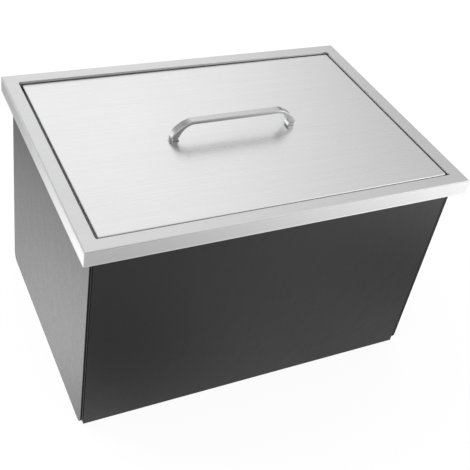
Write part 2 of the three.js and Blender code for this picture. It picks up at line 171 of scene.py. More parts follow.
def box_outline(low, high, radii, steps=CORNER_STEPS):
    """Anticlockwise rectangle with a radius for each corner, from the upper right to the lower right one."""
    corners = ((high[0], high[1]), (low[0], high[1]), (low[0], low[1]), (high[0], low[1]))
    inward = ((-1, -1), (1, -1), (1, 1), (-1, 1))
    points = []
    for quarter in range(4):
        radius = radii[quarter]
        centre = [corners[quarter][k] + inward[quarter][k] * radius for k in (0, 1)]
        for step in range(steps + 1):
            angle = (quarter + step / steps) * QUARTER
            points.append((centre[0] + radius * math.cos(angle), centre[1] + radius * math.sin(angle)))
    return points


def flat_ring(x, y, radius, z, centre=(0, 0)):
    """Rounded rectangle of half sizes x and y at height z."""
    low = (centre[0] - x, centre[1] - y)
    high = (centre[0] + x, centre[1] + y)
    return [(px, py, z) for px, py in box_outline(low, high, (radius,) * 4)]


def round_ring(radius, z):
    """Circle about the drain's axis with as many points as a flat ring."""
    return flat_ring(radius, radius, radius, z)


def circle(radius, z, steps=ROUND_STEPS, centre=(0, 0)):
    """Circle of evenly spaced points round a vertical axis."""
    angles = [TURN * step / steps for step in range(steps)]
    return [(centre[0] + radius * math.cos(a), centre[1] + radius * math.sin(a), z) for a in angles]


# Meshes


def loft(rings, closed=False):
    """Vertices and faces over a run of rings: closed joins the last to the first, or else both are capped."""
    count = len(rings[0])
    vertices = [point for ring in rings for point in ring]
    faces = []
    for i in range(len(rings) if closed else len(rings) - 1):
        low = i * count
        high = (i + 1) % len(rings) * count
        for k in range(count):
            following = (k + 1) % count
            faces.append((low + k, low + following, high + following, high + k))
    if not closed:
        faces.append(tuple(range(count))[::-1])
        faces.append(tuple(range((len(rings) - 1) * count, len(rings) * count)))
    return vertices, faces


def together(*parts):
    """Several lots of vertices and faces as one."""
    vertices, faces = [], []
    for more_vertices, more_faces in parts:
        start = len(vertices)
        vertices += more_vertices
        faces += [tuple(start + i for i in face) for face in more_faces]
    return vertices, faces


def mesh_object(name, shape, material=None):
    """An object with merged corners and outward normals."""
    vertices, faces = shape
    mesh = bpy.data.meshes.new(name)
    mesh.from_pydata(vertices, [], faces)
    work = bmesh.new()
    work.from_mesh(mesh)
    bmesh.ops.remove_doubles(work, verts=work.verts, dist=MERGE)
    bmesh.ops.dissolve_degenerate(work, edges=work.edges, dist=MERGE)
    bmesh.ops.recalc_face_normals(work, faces=work.faces)
    work.to_mesh(mesh)
    work.free()
    made = bpy.data.objects.new(name, mesh)
    bpy.context.scene.collection.objects.link(made)
    if material:
        mesh.materials.append(material)
    return made


def shade(piece):
    """Smooth shading that stops at sharp edges and keeps the large flat faces flat."""
    piece.data.shade_smooth()
    piece.data.set_sharp_from_angle(angle=SHARP_ANGLE)
    weighted = piece.modifiers.new("normals", "WEIGHTED_NORMAL")
    weighted.keep_sharp = True


def carve(piece, cutter):
    """The piece with the cutter's shape taken out of it."""
    cut = piece.modifiers.new("cut", "BOOLEAN")
    cut.object = cutter
    cut.solver = "EXACT"
    scene_state = bpy.context.evaluated_depsgraph_get()
    carved = bpy.data.meshes.new_from_object(piece.evaluated_get(scene_state))
    piece.modifiers.clear()
    piece.data = carved
    bpy.data.objects.remove(cutter)


def add_piece(name, shape, material, body, slot, *nodes, cutter=None):
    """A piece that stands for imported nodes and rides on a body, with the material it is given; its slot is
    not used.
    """
    piece = mesh_object(name, shape, material)
    if cutter:
        carve(piece, mesh_object(name + "_cutter", cutter))
    shade(piece)
    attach(piece, body)
    if nodes:
        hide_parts(*nodes)


# Node trees

# Where a Mix node has its first value and its result, for each kind of value
MIX_SOCKETS = {"FLOAT": (2, 0), "VECTOR": (4, 1), "RGBA": (6, 2)}
WHITE = (1, 1, 1, 1)


class Graph:
    """Adds shader nodes to one tree: an input given as a socket is linked, and any other is set."""

    def __init__(self, tree):
        self.tree = tree
        tree.nodes.clear()

    def add(self, kind, inputs=None, **settings):
        made = self.tree.nodes.new("ShaderNode" + kind)
        for name, value in settings.items():
            setattr(made, name, value)
        for name, value in (inputs or {}).items():
            if isinstance(value, bpy.types.NodeSocket):
                self.tree.links.new(value, made.inputs[name])
            else:
                made.inputs[name].default_value = value
        return made

    def math(self, operation, first, second=0.0):
        return self.add("Math", {0: first, 1: second}, operation=operation).outputs[0]

    def added(self, level, share, strength):
        """A level plus a share of a strength."""
        return self.math("ADD", self.math("MULTIPLY", share, strength), level)

    def weighted(self, first, share, second):
        """A share of one number and the rest of another."""
        return self.math("ADD", self.math("MULTIPLY", first, share), self.math("MULTIPLY", second, 1 - share))

    def vector(self, operation, *values):
        return self.add("VectorMath", dict(enumerate(values)), operation=operation).outputs[0]

    def measure(self, operation, *values):
        """A number that is worked out from vectors."""
        return self.add("VectorMath", dict(enumerate(values)), operation=operation).outputs["Value"]

    def shaded(self, colour, share):
        """A colour times a share of light."""
        return self.add("VectorMath", {0: colour, "Scale": share}, operation="SCALE").outputs[0]

    def blend(self, factor, low, high, kind="FLOAT"):
        """Blend of two numbers, vectors or colours."""
        first, result = MIX_SOCKETS[kind]
        return self.add("Mix", {0: factor, first: low, first + 1: high}, data_type=kind).outputs[result]

    def spread(self, value, low, high, start=0.3, end=0.7):
        """Noise mapped to a span of values."""
        inputs = {"Value": value, "From Min": start, "From Max": end, "To Min": low, "To Max": high}
        return self.add("MapRange", inputs).outputs[0]

    def rise(self, value, none, full):
        """Smooth rise from 0 to 1 as a value goes from none to full."""
        inputs = {"Value": value, "From Min": none, "From Max": full, "To Min": 0.0, "To Max": 1.0}
        return self.add("MapRange", inputs, interpolation_type="SMOOTHSTEP").outputs[0]

    def tinted(self, colour, noise, low, high):
        """A colour whose brightness the noise moves between two shares of it."""
        shades = [(*(channel * share for channel in colour), 1) for share in (low, high)]
        return self.blend(self.spread(noise, 0.0, 1.0), *shades, "RGBA")

    def noise(self, position, scale, detail=2.0, roughness=0.5):
        inputs = {"Vector": position, "Scale": scale, "Detail": detail, "Roughness": roughness}
        return self.add("TexNoise", inputs).outputs["Fac"]

    def cells(self, position, scale, feature="F1"):
        inputs = {"Vector": position, "Scale": scale}
        return self.add("TexVoronoi", inputs, feature=feature).outputs["Distance"]

    def bump(self, height, strength, distance, normal=None):
        inputs = {"Height": height, "Strength": strength, "Distance": distance}
        if normal:
            inputs["Normal"] = normal
        return self.add("Bump", inputs).outputs[0]

    def place(self):
        return self.add("TexCoord").outputs["Object"]

    def finish(self, inputs):
        """The surface shader, whose constants are set on its own sockets."""
        shader = self.add("BsdfPrincipled", inputs)
        output = self.add("OutputMaterial")
        self.tree.links.new(shader.outputs[0], output.inputs["Surface"])


def new_material(name):
    material = bpy.data.materials.new(name)
    material.use_nodes = True
    return material, Graph(material.node_tree)


# Finishes


def brushed_steel(name, colour, roughness, anisotropy, streak=0.03, depth=0.000002, along=14):
    """Sheet with a grain along X, upright on faces that look along X, and painted shade where a gap closes it
    in.
    """
    material, graph = new_material(name)
    place = graph.place()
    normal = graph.add("NewGeometry").outputs["Normal"]
    sideways = graph.math("ABSOLUTE", graph.add("SeparateXYZ", {0: normal}).outputs[0])
    upright = graph.math("GREATER_THAN", sideways, GRAIN["sideways"])
    grain = graph.blend(upright, (1, 0, 0), (0, 0, 1), "VECTOR")

    def streaks(lengthways, crossways):
        """Noise of one scale along the grain and another across it."""
        scale = graph.vector("MULTIPLY_ADD", grain, (lengthways - crossways,) * 3, (crossways,) * 3)
        return graph.noise(graph.vector("MULTIPLY", place, scale), scale=1.0, detail=3.0, roughness=0.6)

    fine = streaks(along, GRAIN["across"])
    broad = streaks(along / 3, GRAIN["across"] / 4)
    cloud = graph.noise(place, scale=14.0, detail=3.0)
    tone = graph.weighted(fine, 0.4, broad)
    scratches = graph.spread(fine, -0.03, 0.03)
    patches = graph.spread(cloud, roughness - 0.01, roughness + 0.01)
    rough = graph.math("ADD", scratches, patches)
    paint = graph.tinted(colour, tone, 1 - streak, 1 + streak)
    # Painted shade: the base colour darkens where ambient occlusion finds a narrow gap
    clear = graph.add("AmbientOcclusion", {"Distance": GAP_SHADE["reach"]}, samples=6).outputs["AO"]
    light = graph.spread(clear, GAP_SHADE["rest"], 1.0, start=GAP_SHADE["closed"], end=GAP_SHADE["open"])
    graph.finish({
        "Base Color": graph.shaded(paint, light),
        "Metallic": 1.0,
        "Roughness": rough,
        "Anisotropic": anisotropy,
        "Tangent": graph.vector("CROSS_PRODUCT", normal, grain),
        "Normal": graph.bump(fine, strength=0.5, distance=depth),
    })
    return material


def polished_steel(name, colour, roughness):
    """Polished bar with faint lines along X and a few softer clouds."""
    material, graph = new_material(name)
    place = graph.place()
    drawn_out = graph.vector("MULTIPLY", place, (60, 1800, 1800))
    lines = graph.noise(drawn_out, scale=1.0, detail=3.0, roughness=0.6)
    cloud = graph.noise(place, scale=90.0, detail=3.0)
    graph.finish({
        "Base Color": graph.tinted(colour, lines, 0.97, 1.02),
        "Metallic": 1.0,
        "Roughness": graph.spread(cloud, roughness - 0.03, roughness + 0.04),
        "Normal": graph.bump(lines, strength=0.35, distance=0.00001),
    })
    return material


def plated_steel(name, colour, roughness):
    """Zinc plate: a mottled, slightly bluish bloom over metal."""
    material, graph = new_material(name)
    place = graph.place()
    bloom = graph.noise(place, scale=220.0, detail=4.0, roughness=0.6)
    grit = graph.noise(place, scale=2400.0)
    graph.finish({
        "Base Color": graph.tinted(colour, bloom, 0.82, 1.06),
        "Metallic": 1.0,
        "Roughness": graph.spread(bloom, roughness - 0.08, roughness + 0.1),
        "Normal": graph.bump(grit, strength=0.3, distance=0.00003),
    })
    return material


def cover_sheet(name, colour, roughness):
    """Black foam-backed sheet with a fine leathery pebble and soft waves."""
    material, graph = new_material(name)
    place = graph.place()
    pebble = graph.cells(place, scale=620.0, feature="SMOOTH_F1")
    crumb = graph.noise(place, scale=900.0, detail=4.0, roughness=0.6)
    wave = graph.noise(graph.vector("MULTIPLY", place, (60, 60, 38)), scale=1.0, detail=3.0)
    relief = graph.weighted(pebble, 0.6, crumb)
    soft = graph.bump(wave, strength=0.35, distance=0.0012)
    graph.finish({
        "Base Color": graph.tinted(colour, crumb, 0.85, 1.25),
        "Roughness": graph.spread(relief, roughness - 0.05, roughness + 0.05),
        "IOR": 1.55,
        "Sheen Weight": 0.16,
        "Sheen Roughness": 0.3,
        "Normal": graph.bump(relief, strength=0.35, distance=0.0003, normal=soft),
    })
    return material


def foam_board(name, colour):
    """Rigid foam with open cells on its cut faces."""
    material, graph = new_material(name)
    place = graph.place()
    pores = graph.cells(place, scale=900.0)
    cloud = graph.noise(place, scale=40.0, detail=4.0)
    graph.finish({
        "Base Color": graph.tinted(colour, cloud, 0.9, 1.05),
        "Roughness": 0.9,
        "Normal": graph.bump(pores, strength=0.6, distance=0.0004),
    })
    return material


def black_rubber(name, colour):
    """Moulded rubber with a fine bloom."""
    material, graph = new_material(name)
    place = graph.place()
    bloom = graph.noise(place, scale=160.0, detail=4.0, roughness=0.6)
    grit = graph.noise(place, scale=3000.0)
    graph.finish({
        "Base Color": graph.tinted(colour, bloom, 0.8, 1.4),
        "Roughness": graph.spread(bloom, 0.5, 0.68),
        "Normal": graph.bump(grit, strength=0.3, distance=0.00004),
    })
    return material


def moulded_plastic(name, colour):
    """White plastic with a faint moulded texture."""
    material, graph = new_material(name)
    place = graph.place()
    grit = graph.noise(place, scale=2000.0)
    cloud = graph.noise(place, scale=60.0, detail=3.0)
    graph.finish({
        "Base Color": graph.tinted(colour, cloud, 0.95, 1.02),
        "Roughness": graph.spread(cloud, 0.38, 0.5),
        "Normal": graph.bump(grit, strength=0.3, distance=0.00003),
    })
    return material


RIM_STEEL = brushed_steel("rim_steel", (0.8, 0.8, 0.805), roughness=0.36, anisotropy=0.45)
LID_STEEL = brushed_steel("lid_steel", (0.88, 0.88, 0.885), roughness=0.26, anisotropy=0.6)
TUB_STEEL = brushed_steel(
    "tub_steel", (0.68, 0.685, 0.69), roughness=0.3, anisotropy=0.4, streak=0.04, depth=0.000008, along=60)
DRAIN_STEEL = polished_steel("drain_steel", (0.7, 0.705, 0.71), roughness=0.22)
BOW_STEEL = polished_steel("bow_steel", (0.62, 0.62, 0.625), roughness=0.12)
ZINC = plated_steel("zinc_steel", (0.55, 0.56, 0.58), roughness=0.34)
SHEET = cover_sheet("cover_sheet", (0.008, 0.008, 0.0083), roughness=0.34)
# Painted highlight: the cover sheet made lighter, for a light line along the sheets' cut edges
EDGE_HIGHLIGHT = cover_sheet("edge_highlight_film", (0.04, 0.04, 0.041), roughness=0.34)
CORE = foam_board("black_foam", (0.006, 0.006, 0.006))
FOAM = foam_board("foam", (0.8, 0.77, 0.65))
RUBBER = black_rubber("rubber", (0.02, 0.02, 0.021))
PLASTIC = moulded_plastic("white_plastic", (0.78, 0.79, 0.78))


# Rim, tub and lid


def half_sizes(box):
    return (box[1].x - box[0].x) / 2, (box[1].y - box[0].y) / 2


def middle(box):
    return (box[1].x + box[0].x) / 2, (box[1].y + box[0].y) / 2


def rim_frame():
    """One sheet: a lip that flares at its foot, the flat top, an inner leg and the ledge under the lid."""
    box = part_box("rim_frame")
    x, y = half_sizes(box)
    top, low = box[1].z, box[0].z
    sheet, width, bend, flare = RIM["sheet"], RIM["width"], RIM["bend"], RIM["flare"]
    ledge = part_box("lid_skin")[0].z - SEAT
    inner = width + RIM["ledge"]
    hidden = width - sheet
    under = ledge - sheet
    waist = low + RIM["flare_height"]
    back = flare + sheet
    profile = soften(
        [(0, low), (flare, waist), (flare, top), (width, top), (width, ledge), (inner, ledge), (inner, under),
         (hidden, under), (hidden, top - sheet), (back, top - sheet), (back, waist), (sheet, low)],
        [RIM["hem"], bend, bend, RIM["fold"], RIM["crease"], DEBURR, DEBURR,
         RIM["crease"] + sheet, DEBURR, DEBURR, bend, DEBURR],
    )
    insets = (0, bend, width - RIM["fold"], width, inner)
    opening = RIM["opening_corner"]
    radii = (RIM["corner"], RIM["corner"] - bend, opening + RIM["fold"], opening, WELL_CORNER)
    rings = []
    for inset, z in profile:
        radius = float(np.interp(inset, insets, radii))
        rings.append(flat_ring(x - inset, y - inset, radius, z))
    add_piece("rim_sheet", loft(rings, closed=True), RIM_STEEL, "bin", "brushed_steel", "rim_frame")


def pressing(grow):
    """Rings of one side of the tub, from the foot of its wall over the cove and floor to the drain hole."""
    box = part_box("liner_tub")
    edge = TUB["flange"] + TUB["sheet"]
    x, y = (half - edge for half in half_sizes(box))
    rings = []
    for step in range(COVE_STEPS + 1):
        angle = QUARTER * (1 - step / COVE_STEPS)
        out = (TUB["cove"] + grow) * math.sin(angle) - TUB["cove"]
        z = TUB["floor"] + TUB["cove"] - (TUB["cove"] + grow) * math.cos(angle)
        rings.append(flat_ring(x + out, y + out, WELL_CORNER + out, z))
    flat = TUB["floor"] - TUB["fall"] - grow
    recess = flat - TUB["depth"]
    wall = TUB["recess"] + grow
    crease = TUB["crease"]
    lead = wall + TUB["lead"] + crease
    rings.append(flat_ring(TUB["drain_flat"], TUB["drain_flat"], WELL_CORNER, flat))
    profile = soften(
        [(lead, flat), (wall, flat), (wall - TUB["taper"], recess), (NECK_HOLE, recess)],
        [0, crease, crease, 0], closed=False,
    )
    return rings + [round_ring(radius, z) for radius, z in profile]


def liner_tub():
    """The pressing's inside, its outside, and the flange that joins them under the rim's ledge."""
    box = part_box("liner_tub")
    x, y = half_sizes(box)
    top = box[1].z
    flange, sheet, bend = TUB["flange"], TUB["sheet"], TUB["bend"]
    outer = flange + sheet
    profile = soften(
        [(flange, top - outer), (flange, top - sheet), (0, top - sheet), (0, top), (outer, top),
         (outer, top - outer)],
        [0, bend, DEBURR, DEBURR, bend + sheet, 0], closed=False,
    )
    lip = []
    for inset, z in profile:
        radius = WELL_CORNER + sheet - max(0, inset - flange)
        lip.append(flat_ring(x - inset, y - inset, radius, z))
    rings = pressing(sheet)[::-1] + lip + pressing(0)
    add_piece("tub_pressing", loft(rings, closed=True), TUB_STEEL, "bin", "satin_steel", "liner_tub")


def pan(box, size, face, lip):
    """A shallow pan with bent edges, from the height of its flat face to that of its lip."""
    x, y = half_sizes(box)
    sheet, border = size["sheet"], size["border"]
    inside = face + math.copysign(sheet, lip - face)
    profile = soften(
        [(border, face), (0, face), (0, lip), (sheet, lip), (sheet, inside), (border, inside)],
        [0, size["bend"], PAN_DEBURR, PAN_DEBURR, PAN_DEBURR, 0], closed=False,
    )
    rings = []
    for inset, z in profile:
        radius = max(size["corner"] - inset, PAN_DEBURR)
        rings.append(flat_ring(x - inset, y - inset, radius, z, middle(box)))
    return loft(rings)


def lid_skin():
    """The lid's pan, open below."""
    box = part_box("lid_skin")
    shape = pan(box, LID, box[1].z, box[0].z)
    add_piece("lid_pan", shape, LID_STEEL, "lid", "brushed_steel", "lid_skin")


def lid_liner():
    """The tray under the lid, with holes that leave the handle's screws in reach."""
    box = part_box("lid_liner")
    low, top = box[0].z, box[1].z
    ends = (low - TRAY["sheet"], low + TRAY["sheet"] * 2)
    holes = []
    for _, hand in HANDS:
        place = middle(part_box(f"handle_screw_{hand}"))
        holes.append(loft([circle(TRAY["access"], z, SMALL_STEPS, place) for z in ends]))
    shape = pan(box, TRAY, low, top)
    add_piece("lid_tray", shape, TUB_STEEL, "lid", "satin_steel", "lid_liner", cutter=together(*holes))


# Covering sheets

# Layers from the outer face inwards: where each ends, as a share of the thickness, its set-back and finish
SHEET_LAYERS = (
    ("sheet", 0.15, 0.0, SHEET),
    ("core", 0.58, 0.0003, CORE),
    # Painted highlight: a lighter layer that draws a light line along the sheet's cut edge
    ("edge_highlight", 0.82, 0.0001, EDGE_HIGHLIGHT),
    ("bond", 1.0, 0.003, CORE),
)


def sheet_layer(low, high, radii, set_back, start, end, edges, put):
    """One layer of a sheet between two depths below its outer face, whose points put() moves into place."""
    border = COVER["border"]
    profile = soften(
        [(border, start), (set_back, start), (set_back, end), (border, end)], [0, *edges, 0], closed=False)
    rings = []
    for inset, depth in profile:
        inner_low = (low[0] + inset, low[1] + inset)
        inner_high = (high[0] - inset, high[1] - inset)
        shrunk = tuple(max(radius - inset, DEBURR) for radius in radii)
        rings.append([put(a, b, depth) for a, b in box_outline(inner_low, inner_high, shrunk)])
    return loft(rings)


def layered_panel(name, low, high, radii, thickness, put):
    """A sheet as its layers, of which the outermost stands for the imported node."""
    start = 0
    for part, share, set_back, finish in SHEET_LAYERS:
        end = thickness * share
        outermost = start == 0
        edges = (COVER["edge"] if outermost else COVER["hem"], COVER["hem"])
        nodes = [name] if outermost else []
        shape = sheet_layer(low, high, radii, set_back, start, end, edges, put)
        add_piece(f"{name}_{part}", shape, finish, "bin", "cover_sheet", *nodes)
        start = end


def side_panel(name, side):
    """The sheet on one end of the bin, whose lower corners are rounder."""
    low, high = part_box(name)
    face = low.x if side < 0 else high.x
    radii = (COVER["edge"], COVER["edge"], COVER["corner"], COVER["corner"])

    def put(a, b, depth):
        return face - side * depth, a, b

    layered_panel(name, (low.y, low.z), (high.y, high.z), radii, high.x - low.x, put)


def face_panel(name, side):
    """The sheet on the front or the rear."""
    low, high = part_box(name)
    face = low.y if side < 0 else high.y
    radii = (COVER["edge"],) * 4

    def put(a, b, depth):
        return a, face - side * depth, b

    layered_panel(name, (low.x, low.z), (high.x, high.z), radii, high.y - low.y, put)


def base_panel():
    """The sheet under the bin, with its round pocket."""
    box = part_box("base_panel")
    x, y = half_sizes(box)
    low, high = box[0].z, box[1].z
    edge, border, pocket = COVER["edge"], COVER["border"], COVER["pocket"]
    radii = [0, edge, edge, 0]
    outside = soften([(border, low), (0, low), (0, high), (border, high)], radii, closed=False)
    rings = [flat_ring(x - inset, y - inset, max(edge - inset, DEBURR), z) for inset, z in outside]
    lead = pocket + edge * 2
    inside = soften([(lead, high), (pocket, high), (pocket, low), (lead, low)], radii, closed=False)
    rings += [round_ring(radius, z) for radius, z in inside]
    add_piece("base_sheet", loft(rings, closed=True), SHEET, "bin", "cover_sheet", "base_panel")


# Handle and its screws


def arc_share(turn, share):
    """How far a point on an elliptic arc lies across and up, as shares of the whole arc from foot to top."""
    start, end = turn
    angle = start + (end - start) * share
    across = (math.cos(angle) - math.cos(end)) / (math.cos(start) - math.cos(end))
    up = (math.sin(angle) - math.sin(start)) / (math.sin(end) - math.sin(start))
    return across, up


def bow_stations(outer_half, rise, foot):
    """Pairs of outer and inner points in side view, from the left leg over the top to the right leg."""
    inner_half = outer_half - HANDLE["leg"]
    outer_middle = outer_half - HANDLE["outer_arc"]
    inner_middle = inner_half - HANDLE["inner_arc"]
    inner_rise = rise - HANDLE["thickness"]
    pairs = []
    for step in range(ARC_STEPS + 1):
        across, up = arc_share(HANDLE["outer_turn"], step / ARC_STEPS)
        outer = (-outer_middle - HANDLE["outer_arc"] * across, foot + rise * up)
        across, up = arc_share(HANDLE["inner_turn"], step / ARC_STEPS)
        pairs.append((outer, (-inner_middle - HANDLE["inner_arc"] * across, foot + inner_rise * up)))
    half_steps = TOP_STEPS // 2
    for step in range(1, half_steps + 1):
        share = 1 - step / half_steps
        pairs.append(((-outer_middle * share, foot + rise), (-inner_middle * share, foot + inner_rise)))
    return pairs + [((-outer[0], outer[1]), (-inner[0], inner[1])) for outer, inner in pairs[-2::-1]]


def handle_bow(box, seat):
    """The bow above the height of its seat, lofted with chamfers along its outer side."""
    centre_x, centre_y = middle(box)
    half_length, half_width = half_sizes(box)
    width = half_width - HANDLE["side_margin"]
    cut = HANDLE["chamfer"]
    rings = []
    for outer, inner in bow_stations(half_length, box[1].z - seat, seat):
        out, back = Vector(outer), Vector(inner)
        half = (out - back).length / 2
        axis = (out - back).normalized()
        core = (out + back) / 2
        corners = (
            (-width, -half), (width, -half), (width, half - cut), (width - cut, half), (cut - width, half),
            (-width, half - cut),
        )
        section = soften(corners, [HANDLE["edge"]] * len(corners), BOW_EDGE_STEPS)
        core_x = centre_x + core.x
        rings.append([(core_x + axis.x * b, centre_y + a, core.y + axis.y * b) for a, b in section])
    return loft(rings)


def handle_foot(box, seat, side):
    """The drafted block under one leg, with a groove above it and a neck that is sunk into the leg."""
    centre = middle(box)
    half_length, half_width = half_sizes(box)
    near = half_length - HANDLE["leg"] - FOOT["margin"]
    far = half_length - FOOT["overhang"]
    base = box[0].z
    top = base + FOOT["height"]
    edge, draft = FOOT["edge"], FOOT["draft"]
    sharp, lead = edge / 3, edge * 3
    neck = draft + FOOT["neck"]
    profile = soften(
        [(lead, base), (0, base), (draft, top), (neck, top), (neck, seat + FOOT["sunk"])],
        [0, sharp, edge, sharp, 0], closed=False,
    )
    rings = []
    for inset, z in profile:
        share = min(inset / draft, 1)
        inner_end = near + inset + (FOOT["inner_draft"] - draft) * share
        outer_end = far - inset - (FOOT["outer_draft"] - draft) * share
        place = (centre[0] + side * (inner_end + outer_end) / 2, centre[1])
        corner = max(FOOT["corner"] - inset, sharp)
        rings.append(flat_ring((outer_end - inner_end) / 2, half_width - inset, corner, z, place))
    return loft(rings)


def lid_handle():
    """The bow and the foot under each of its legs."""
    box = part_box("lid_handle")
    seat = box[0].z + FOOT["height"] + HANDLE["groove"]
    add_piece("handle_bow", handle_bow(box, seat), BOW_STEEL, "lid", "chrome", "lid_handle")
    for side, hand in HANDS:
        add_piece(f"handle_foot_{hand}", handle_foot(box, seat, side), BOW_STEEL, "lid", "chrome")


def hexagon(radius, z, steps, centre):
    """Hexagon as a ring with as many points as a circle of these steps."""
    flat = TURN / 6
    points = []
    for step in range(steps):
        angle = TURN * step / steps
        within = angle % flat - flat / 2
        reach = radius * math.cos(flat / 2) / math.cos(within)
        points.append((centre[0] + reach * math.cos(angle), centre[1] + reach * math.sin(angle), z))
    return points


def handle_screw(hand):
    """Screw with a rounded head and a hexagon socket, driven from below."""
    name = f"handle_screw_{hand}"
    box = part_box(name)
    place = middle(box)
    low, top = box[0].z, box[1].z
    bearing = low + SCREW["head_height"]
    profile = soften(
        [(SCREW["socket"] + SCREW["edge"], low), (SCREW["head"], low), (SCREW["head"], bearing),
         (SCREW["radius"], bearing), (SCREW["radius"], top), (0, top)],
        [0, SCREW["edge"], DEBURR, DEBURR, SCREW["tip"], 0], closed=False,
    )
    rings = [
        hexagon(SCREW["socket"], low + SCREW["socket_depth"], SMALL_STEPS, place),
        hexagon(SCREW["socket"], low + DEBURR, SMALL_STEPS, place),
        hexagon(SCREW["socket"] + DEBURR, low, SMALL_STEPS, place),
    ]
    rings += [circle(radius, z, SMALL_STEPS, place) for radius, z in profile]
    add_piece(name + "_body", loft(rings), ZINC, "lid", "zinc_steel", name)


def plain_ring(name, node, hole, edge, material, body, slot, steps=ROUND_STEPS):
    """Flat round ring with soft edges, as large as its node."""
    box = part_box(node)
    radius = half_sizes(box)[1]
    low, high = box[0].z, box[1].z
    corners = [(hole, low), (radius, low), (radius, high), (hole, high)]
    profile = soften(corners, [edge / 2, edge, edge, edge / 2])
    rings = [circle(reach, z, steps, middle(box)) for reach, z in profile]
    add_piece(name, loft(rings, closed=True), material, body, slot, node)


# Drain


def threaded(radius, low, high, depth):
    """Rings of a screw thread: each turns in by the depth along a helix, and runs out at both ends."""
    pitch = DRAIN["pitch"]
    count = round((high - low) / pitch * THREAD_STEPS)
    rings = []
    for i in range(count + 1):
        z = low + (high - low) * i / count
        fade = min(1, (z - low) / DRAIN["run_out"], (high - z) / DRAIN["run_out"])
        ring = []
        for step in range(ROUND_STEPS):
            angle = TURN * step / ROUND_STEPS
            phase = (z / pitch - step / ROUND_STEPS) % 1
            tooth = abs(phase * 2 - 1)
            reach = radius - depth * fade * (1 - tooth)
            ring.append((reach * math.cos(angle), reach * math.sin(angle), z))
        rings.append(ring)
    return rings


def drain_body():
    """Flange with a tapered bowl, and a threaded neck and tail below it."""
    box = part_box("drain_body")
    low, top = box[0].z, box[1].z
    under = top - DRAIN["flange_height"]
    shelf = top - DRAIN["bowl_depth"]
    edge, fine = DRAIN["edge"], DRAIN["fine"]
    neck, neck_end, tail = DRAIN["neck"], DRAIN["neck_end"], DRAIN["tail"]
    nut_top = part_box("drain_locknut")[1].z
    above = soften(
        [(neck, nut_top), (neck, under), (DRAIN["flange"], under), (DRAIN["flange"], top),
         (DRAIN["mouth"], top), (DRAIN["bowl"], shelf), (DRAIN["bore"], shelf), (DRAIN["bore"], low),
         (tail - edge, low), (tail, low + edge)],
        [0, fine, fine, edge, edge, edge, fine, fine, fine, 0], closed=False,
    )
    step_up = soften(
        [(tail, neck_end - fine), (tail, neck_end), (neck - fine, neck_end), (neck, neck_end + fine)],
        [0, fine, 0, 0], closed=False,
    )
    rings = [circle(radius, z) for radius, z in above]
    rings += threaded(tail, low + edge * 2, neck_end - fine * 2, DRAIN["thread"])
    rings += [circle(radius, z) for radius, z in step_up]
    rings += threaded(neck, neck_end + fine * 2, nut_top - fine, DRAIN["thread"] / 2)
    add_piece("drain_fitting", loft(rings, closed=True), DRAIN_STEEL, "bin", "satin_steel", "drain_body")


def slot_outline(angle, z):
    """Strainer slot with round ends, turned about the axis."""
    radius = STRAINER["slot_width"] / 2
    ends = ((STRAINER["slot_outer"] - radius, -QUARTER), (STRAINER["slot_inner"] + radius, QUARTER))
    points = []
    for centre, start in ends:
        for step in range(BEND_STEPS * 2 + 1):
            turn = start + math.pi * step / (BEND_STEPS * 2)
            points.append(Vector((centre + radius * math.cos(turn), radius * math.sin(turn), z)))
    spin = Matrix.Rotation(angle, 3, "Z")
    return [tuple(spin @ point) for point in points]


def drain_strainer():
    """Disc with a ring of radial slots round a ring of holes."""
    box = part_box("drain_strainer")
    radius = half_sizes(box)[0]
    low, top = box[0].z, box[1].z
    edge = STRAINER["edge"]
    lead = radius - edge * 3
    corners = [(lead, low), (radius, low), (radius, top), (lead, top)]
    profile = soften(corners, [0, edge, edge, 0], closed=False)
    ends = (low - STRAINER["overrun"], top + STRAINER["overrun"])
    cutters = []
    for i in range(STRAINER["slots"]):
        angle = TURN * i / STRAINER["slots"]
        cutters.append(loft([slot_outline(angle, z) for z in ends]))
    for i in range(STRAINER["holes"]):
        angle = TURN * i / STRAINER["holes"]
        place = (STRAINER["hole_ring"] * math.cos(angle), STRAINER["hole_ring"] * math.sin(angle))
        cutters.append(loft([circle(STRAINER["hole"], z, SMALL_STEPS // 2, place) for z in ends]))
    disc = loft([circle(reach, z) for reach, z in profile])
    cutter = together(*cutters)
    add_piece("strainer_disc", disc, DRAIN_STEEL, "bin", "satin_steel", "drain_strainer", cutter=cutter)


def lugged(inset, z):
    """Outline of the nut with its lugs, drawn in by an inset."""
    radius = NUT["radius"] - inset
    half = NUT["lug_width"] / 2 - inset
    reach = NUT["radius"] + NUT["lug_reach"] - inset
    foot = math.asin(half / radius)
    root = radius * math.cos(foot)
    share = TURN / NUT["lugs"]
    steps = BEND_STEPS + 2
    points = []
    for lug in range(NUT["lugs"]):
        spin = lug * share
        cosine, sine = math.cos(spin), math.sin(spin)
        for x, y in ((root, -half), (reach, -half), (reach, half), (root, half)):
            points.append((x * cosine - y * sine, x * sine + y * cosine, z))
        for step in range(1, steps):
            angle = spin + foot + (share - foot * 2) * step / steps
            points.append((radius * math.cos(angle), radius * math.sin(angle), z))
    return points


def under_outline(radius, z):
    """Ring of a radius with a point under each point of the nut's outline."""
    spokes = [math.atan2(y, x) for x, y, _ in lugged(0, z)]
    return [(radius * math.cos(angle), radius * math.sin(angle), z) for angle in spokes]


def drain_locknut():
    """Round nut with lugs for a spanner."""
    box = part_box("drain_locknut")
    low, top = box[0].z, box[1].z
    bevel = NUT["bevel"]
    rings = [
        under_outline(NECK_HOLE, top),
        under_outline(NECK_HOLE, low),
        lugged(bevel, low),
        lugged(0, low + bevel),
        lugged(0, top - bevel),
        lugged(bevel, top),
    ]
    add_piece("locknut_ring", loft(rings, closed=True), ZINC, "bin", "zinc_steel", "drain_locknut")


